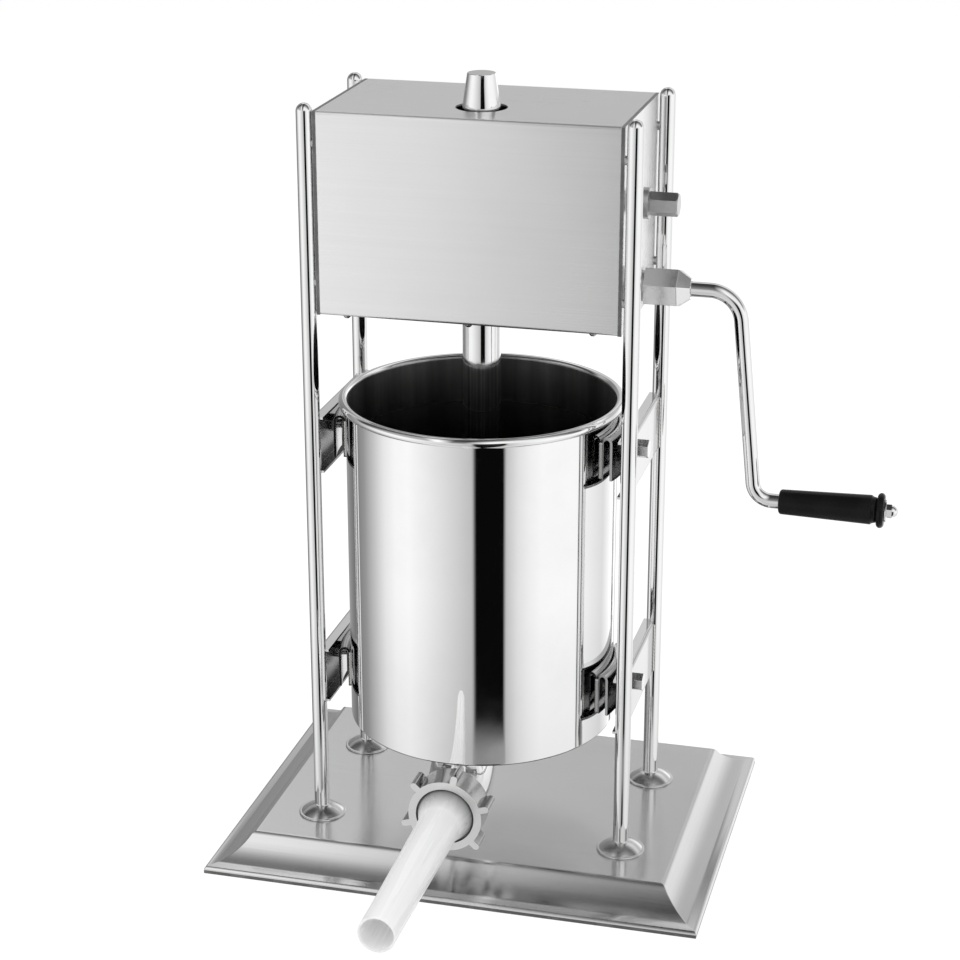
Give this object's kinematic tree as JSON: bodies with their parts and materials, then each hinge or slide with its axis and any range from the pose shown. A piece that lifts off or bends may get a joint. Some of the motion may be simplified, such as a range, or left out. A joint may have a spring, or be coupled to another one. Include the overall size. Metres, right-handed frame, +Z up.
{
  "type": "sausage stuffer",
  "caption": "Upright crank-driven stuffer: a rack-and-pinion ram presses meat through a lift-off steel canister, a floor elbow and a tapered stuffing tube.",
  "frame": {"origin": "centre of the base tray's underside, on the surface it stands on", "axes": "+Z up, -Y towards the stuffing tube, +X towards the crank"},
  "size_m": [0.547, 0.505, 0.6646],
  "materials": {
    "satin_stainless": "fine brushed sheet",
    "bright_stainless": "mirror polished",
    "machined_steel": "turned or milled, oiled",
    "hub_steel": "satin, slightly worn",
    "bush_bronze": "plain bronze",
    "piston_plastic": "black food-safe plastic",
    "seal_rubber": "dark food-safe rubber",
    "nut_alloy": "cast, satin",
    "tube_plastic": "milky translucent plastic",
    "grip_plastic": "black moulded plastic"
  },
  "bodies": {
    "frame": {"base_tray": "satin_stainless", "post_front_left": "bright_stainless", "post_front_right": "bright_stainless", "post_rear_left": "bright_stainless", "post_rear_right": "bright_stainless", "post_rosettes": "bright_stainless", "post_washers": "machined_steel", "post_nuts": "machined_steel", "channel_upper_left": "bright_stainless", "channel_upper_right": "bright_stainless", "channel_lower_left": "bright_stainless", "channel_lower_right": "bright_stainless", "hanger_bolts": "machined_steel", "hanger_nuts": "machined_steel", "side_plate_left": "satin_stainless", "side_plate_right": "satin_stainless", "front_cover": "satin_stainless", "rear_cover": "satin_stainless", "bottom_plate": "satin_stainless", "cover_screws": "machined_steel", "post_spacers": "machined_steel", "post_screws": "machined_steel", "rod_bush": "bush_bronze", "guide_bridge": "machined_steel", "shaft_bushes": "machined_steel"},
    "slow_drive": {"slow_pinion_shaft": "machined_steel", "slow_shaft_collars": "machined_steel"},
    "fast_drive": {"fast_shaft": "machined_steel", "fast_shaft_key": "machined_steel", "rack_pinion": "machined_steel", "large_gear": "machined_steel", "fast_shaft_collars": "machined_steel"},
    "ram": {"rack_rod": "bright_stainless", "piston": "piston_plastic", "piston_clamp": "piston_plastic", "piston_seal": "seal_rubber", "piston_washer": "machined_steel", "piston_nut": "machined_steel"},
    "air_valve": {"air_valve": "machined_steel", "air_valve_knob": "machined_steel"},
    "canister": {"canister_wall": "bright_stainless", "canister_floor": "bright_stainless", "canister_hooks": "bright_stainless", "outlet_elbow": "bright_stainless"},
    "tube": {"tube_gasket": "seal_rubber", "stuffing_tube": "tube_plastic"},
    "ring_nut": {"ring_nut": "nut_alloy"},
    "crank": {"crank_hub": "hub_steel", "crank_arm": "bright_stainless", "grip_washer": "machined_steel", "grip_nut": "bright_stainless"},
    "grip": {"crank_grip": "grip_plastic"}
  },
  "joints": [
    {"name": "crank_turn", "type": "hinge", "parent": "frame", "child": "slow_drive", "pos_m": [0, -0.001, 0.4935], "axis": [1, 0, 0], "range_deg": [0, 2852]},
    {"name": "fast_shaft_spin", "type": "hinge", "parent": "frame", "child": "fast_drive", "pos_m": [0, -0.001, 0.561], "axis": [1, 0, 0], "range_deg": [-713.1, 0]},
    {"name": "ram_slide", "type": "slide", "parent": "frame", "child": "ram", "axis": [0, 0, 1], "range_m": [0, 0.28]},
    {"name": "valve_lift", "type": "slide", "parent": "ram", "child": "air_valve", "axis": [0, 0, 1], "range_m": [0, 0.004]},
    {"name": "canister_lift", "type": "slide", "parent": "frame", "child": "canister", "axis": [0, 0, 1], "range_m": [0, 0.014]},
    {"name": "tube_release", "type": "slide", "parent": "canister", "child": "tube", "axis": [0, -1, 0], "range_m": [0, 0.0201]},
    {"name": "ring_nut_turn", "type": "hinge", "parent": "tube", "child": "ring_nut", "pos_m": [0, -0.142, 0.0795], "axis": [0, -1, 0], "range_deg": [0, 1800]},
    {"name": "crank_pull", "type": "slide", "parent": "slow_drive", "child": "crank", "axis": [1, 0, 0], "range_m": [0, 0.03]},
    {"name": "grip_spin", "type": "hinge", "parent": "crank", "child": "grip", "pos_m": [0.284, -0.001, 0.32], "axis": [1, 0, 0], "continuous": true}
  ],
  "couplings": [
    {"joint": "fast_shaft_spin", "follows": "crank_turn", "ratio": -0.25},
    {"joint": "ram_slide", "follows": "crank_turn", "m_per_rad": 0.005625},
    {"joint": "tube_release", "follows": "ring_nut_turn", "m_per_rad": 0.00063662}
  ]
}
